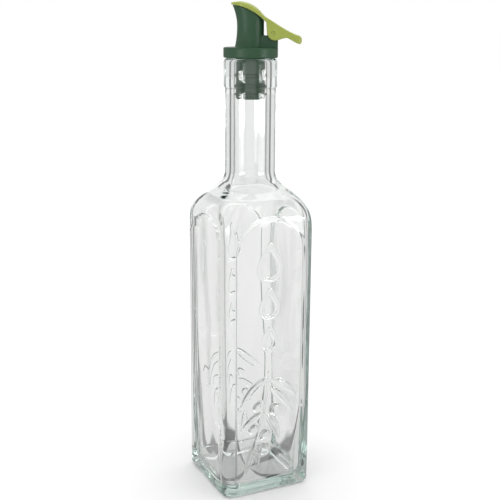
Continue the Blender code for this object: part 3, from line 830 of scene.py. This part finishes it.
def pour_lid(look):
    """Sections closest together at the lid's tip and at both ends of the lever."""
    tip_run, start, end = LID_MIDDLE - LID_TIP, LEVER_FOOT[0][0], LEVER_FOOT[-1][0]
    tip = [LID_TIP + LID_BLUNT + tip_run * (i / TIP_STEPS) ** 2 for i in range(TIP_STEPS)]
    over_spout = [LID_MIDDLE + (LID_BACK - LID_MIDDLE) * i / LID_STEPS for i in range(LID_STEPS + 1)]
    turns = [math.pi * i / LEVER_STEPS for i in range(LEVER_STEPS + 1)]
    lever = [start + (end - start) * (1 - math.cos(turn)) / 2 for turn in turns]
    lid = loft("lever_lid", [lid_section(x) for x in tip + over_spout + lever])
    combine(lid, "DIFFERENCE", [prism("slot", SLOT_OUTLINE, SLOT_HALF_WIDTH), pin_hole()])
    round_off(lid, LID_VOXEL, passes=4)
    place_pourer(lid, look, "pour_lid", "lid")


# Studio

FLOOR_HALF = 4.0
FLOOR_WHITES = (0.93, 0.95)
FLOOR_CLOUDS = 3.0
FLOOR_ROUGHNESS = 0.9
DIFFUSE_LIGHT = 1.2
LIGHT_BOUNCES = 32

# Upright strip lights, as azimuth in degrees and width. Each has a dimmer part down to the floor.
STRIP_DISTANCE = 1.0
STRIPS = {"right_strip": (58.5, 0.30), "left_strip": (-41.5, 0.35)}
STRIP_SPAN = (0.10, 0.25)
STRIP_RADIANCE = 15.0
STRIP_FOOT_SPAN = (0.0, 0.10)
STRIP_FOOT_RADIANCE = 2.5

# What the glass finds round it: bright screens behind and before it, dimmer ones at its sides,
# and dark gaps between them. The edges are cosines of the angle to the line of sight, and the
# levels are those of the gaps and of the brightest screens.
SIDE_EDGE = (0.655, 0.705)
BACK_EDGE = (0.845, 0.895)
SIDE_SHARE = 0.80
# The floor's levels are painted light, seen only from the glass: painted shade in the gaps and a painted
# glow by the screens.
FLOOR_PAINTED_LEVELS = (0.16, 0.82)
SCREEN_LEVELS = (0.16, 1.10)
SCREEN_TINT = (1.0, 0.985, 0.985)


def screens(add, links, place):
    """How much of a screen there is in a direction, or beyond a place on the floor."""
    flat = add("VectorMath", {1: (1.0, 1.0, 0.0)}, operation="MULTIPLY")
    links.new(place, flat.inputs[0])
    unit = add("VectorMath", operation="NORMALIZE")
    links.new(flat.outputs["Vector"], unit.inputs[0])
    away = (math.sin(CAMERA_AZIMUTH), math.cos(CAMERA_AZIMUTH), 0.0)
    dot = add("VectorMath", {1: away}, operation="DOT_PRODUCT")
    links.new(unit.outputs["Vector"], dot.inputs[0])
    size = add("Math", operation="ABSOLUTE")
    links.new(dot.outputs["Value"], size.inputs[0])
    back = ramp(add, links, size.outputs["Value"], BACK_EDGE, (0.0, 1.0))
    side = ramp(add, links, size.outputs["Value"], SIDE_EDGE, (SIDE_SHARE, 0.0))
    both = add("Math", operation="ADD")
    links.new(back, both.inputs[0])
    links.new(side, both.inputs[1])
    return both.outputs["Value"]


def ramp(add, links, source, edge, levels):
    low, high = levels
    ends = {"From Min": edge[0], "From Max": edge[1], "To Min": low, "To Max": high}
    made = add("MapRange", ends, interpolation_type="SMOOTHSTEP")
    links.new(source, made.inputs["Value"])
    return made.outputs["Result"]


def grey(level):
    return (level, level, level, 1.0)


def tinted(level):
    return tuple(level * share for share in SCREEN_TINT) + (1.0,)


def floor():
    """A plain white floor to the camera. Seen from the glass it has painted light: it glows a little,
    with painted shade where no screen stands.
    """
    size = FLOOR_HALF
    corners = [(-size, -size, 0), (size, -size, 0), (size, size, 0), (-size, size, 0)]
    ground = mesh_object("floor", corners, [(0, 1, 2, 3)])
    made, shader, _, add, links = node_maker("white_floor")
    place = add("TexCoord").outputs["Object"]
    # The floor as the glass sees it: painted shade where no screen stands, and a painted glow from its
    # emission.
    low, high = (tinted(level / 2) for level in FLOOR_PAINTED_LEVELS)
    painted_light_in_glass = blend_colours(add, links, screens(add, links, place), low, high)
    cloud = surface_noise(add, links, FLOOR_CLOUDS)
    white = blend_colours(add, links, cloud, *(grey(level) for level in FLOOR_WHITES))
    seen = add("LightPath").outputs["Is Camera Ray"]
    pick = add("Mix", data_type="RGBA")
    links.new(seen, pick.inputs["Factor"])
    links.new(painted_light_in_glass, pick.inputs["A"])
    links.new(white, pick.inputs["B"])
    links.new(pick.outputs["Result"], shader.inputs["Base Color"])
    glow = add("Mix", data_type="RGBA")
    glow.inputs["B"].default_value = grey(0.0)
    links.new(seen, glow.inputs["Factor"])
    links.new(painted_light_in_glass, glow.inputs["A"])
    links.new(glow.outputs["Result"], shader.inputs["Emission Color"])
    shader.inputs["Emission Strength"].default_value = 1.0
    shader.inputs["Roughness"].default_value = FLOOR_ROUGHNESS
    ground.data.materials.append(made)


def softbox(name, azimuth, width, span, radiance):
    """An upright strip light. Azimuth in degrees from the camera's side, positive to its right."""
    turn = -math.pi / 2 - CAMERA_AZIMUTH + math.radians(azimuth)
    low, high = span
    height = high - low
    light = bpy.data.lights.new(name, "AREA")
    light.shape = "RECTANGLE"
    light.size, light.size_y = width, height
    light.energy = radiance * math.pi * width * height
    lamp = bpy.data.objects.new(name, light)
    bpy.context.scene.collection.objects.link(lamp)
    away = Vector((math.cos(turn), math.sin(turn), 0.0)) * STRIP_DISTANCE
    lamp.location = away + Vector((0.0, 0.0, (low + high) / 2))
    lamp.rotation_euler = (math.pi / 2, 0.0, turn + math.pi / 2)
    lamp.visible_camera = False
    lamp.visible_diffuse = False


def studio_world():
    """White to the camera and to diffuse light. The glass finds the screens and the gaps."""
    world = bpy.data.worlds.new("studio")
    bpy.context.scene.world = world
    world.use_nodes = True
    add, links = adder(world.node_tree), world.node_tree.links
    world.node_tree.nodes.clear()
    place = add("TexCoord").outputs["Generated"]
    dim, bright = (tinted(level) for level in SCREEN_LEVELS)
    source = blend_colours(add, links, screens(add, links, place), dim, bright)
    rays = add("LightPath")
    for ray, level in (("Is Diffuse Ray", DIFFUSE_LIGHT), ("Is Camera Ray", 1.0)):
        pick = add("Mix", data_type="RGBA")
        pick.inputs["B"].default_value = grey(level)
        links.new(rays.outputs[ray], pick.inputs["Factor"])
        links.new(source, pick.inputs["A"])
        source = pick.outputs["Result"]
    glow = add("Background")
    links.new(source, glow.inputs["Color"])
    output = add("OutputWorld")
    links.new(glow.outputs["Background"], output.inputs["Surface"])


def camera():
    data = bpy.data.cameras.new("camera")
    data.sensor_width = SENSOR
    data.lens = FOCAL_LENGTH / PICTURE_WIDTH * SENSOR
    eye = bpy.data.objects.new("camera", data)
    bpy.context.scene.collection.objects.link(eye)
    aim = Matrix.Rotation(-CAMERA_AZIMUTH, 4, "Z") @ Matrix.Rotation(math.pi / 2 - CAMERA_PITCH, 4, "X")
    eye.matrix_world = Matrix.Translation(CAMERA_PLACE) @ aim @ Matrix.Rotation(CAMERA_ROLL, 4, "Z")
    bpy.context.scene.camera = eye


camera()
studio_world()
floor()
for name, (azimuth, width) in STRIPS.items():
    softbox(name, azimuth, width, STRIP_SPAN, STRIP_RADIANCE)
for name, (azimuth, width) in STRIPS.items():
    softbox(name + "_foot", azimuth, width, STRIP_FOOT_SPAN, STRIP_FOOT_RADIANCE)
bpy.context.scene.view_settings.view_transform = "Standard"
bpy.context.scene.cycles.max_bounces = LIGHT_BOUNCES
bpy.context.scene.cycles.transmission_bounces = LIGHT_BOUNCES
bpy.context.scene.cycles.glossy_bounces = LIGHT_BOUNCES

lime = moulded_plastic("lime_plastic", LIME_COLOURS, LIME_ROUGHNESS, LIME_SCATTER)
green = moulded_plastic("green_plastic", GREEN_COLOURS, GREEN_ROUGHNESS, GREEN_SCATTER)
glass_bottle(clear_glass())
pourer(green)
pour_lid(lime)
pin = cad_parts["hinge_pin"]
pin.data.materials.clear()
pin.data.materials.append(lime)
